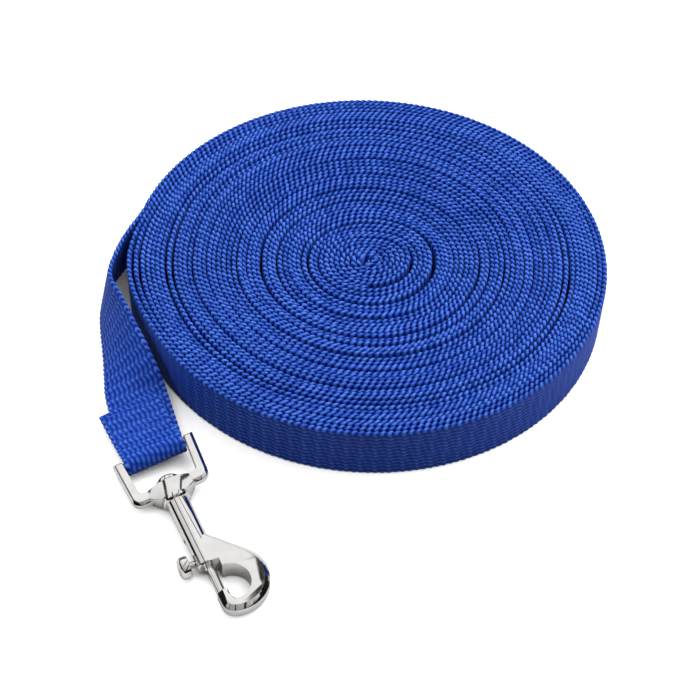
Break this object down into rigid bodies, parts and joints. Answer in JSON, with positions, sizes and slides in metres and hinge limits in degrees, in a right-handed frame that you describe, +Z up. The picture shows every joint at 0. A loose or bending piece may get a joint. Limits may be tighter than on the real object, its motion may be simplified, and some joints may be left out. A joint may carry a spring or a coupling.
{
  "type": "training leash",
  "caption": "Long flat webbing training leash rolled up on edge, with a swivel bolt snap sewn to its free outer end.",
  "frame": {"origin": "on the floor at the heart of the roll, on the lower edge of the innermost half turn of webbing", "axes": "+Z up from the floor that the roll and the snap lie on, along the roll's axis; the free tail and the snap lie on the -X -Y side"},
  "size_m": [0.2167, 0.2727, 0.0251],
  "materials": {
    "webbing": "woven royal blue webbing, slightly glossy filament yarn",
    "thread": "matching blue sewing thread",
    "nickel": "bright nickel plate on a die casting",
    "spring_steel": "bare drawn wire"
  },
  "bodies": {
    "strap": {"strap_coil": "webbing", "handle_loop": "webbing", "handle_stitching": "thread", "strap_tail": "webbing", "hook_end_loop": "webbing", "hook_end_stitching": "thread"},
    "eye": {"swivel_eye": "nickel"},
    "hook": {"swivel_rivet": "nickel", "hook_body": "nickel", "bolt_spring": "spring_steel"},
    "bolt": {"bolt_pin": "nickel", "thumb_button": "nickel"}
  },
  "joints": [
    {"name": "eye_swing", "type": "hinge", "parent": "strap", "child": "eye", "pos_m": [-0.08367, -0.09565, 0.00658], "axis": [-0.8792, -0.4557, -0.1391], "range_deg": [-100, 100]},
    {"name": "hook_swivel", "type": "hinge", "parent": "eye", "child": "hook", "pos_m": [-0.08367, -0.09565, 0.00658], "axis": [0.4643, -0.885, -0.0349], "continuous": true},
    {"name": "bolt_slide", "type": "slide", "parent": "hook", "child": "bolt", "axis": [-0.4643, 0.885, 0.0349], "range_m": [0, 0.0095], "stiffness_N_per_m": 400, "springref_m": -0.004, "deforming": ["bolt_spring"]}
  ]
}
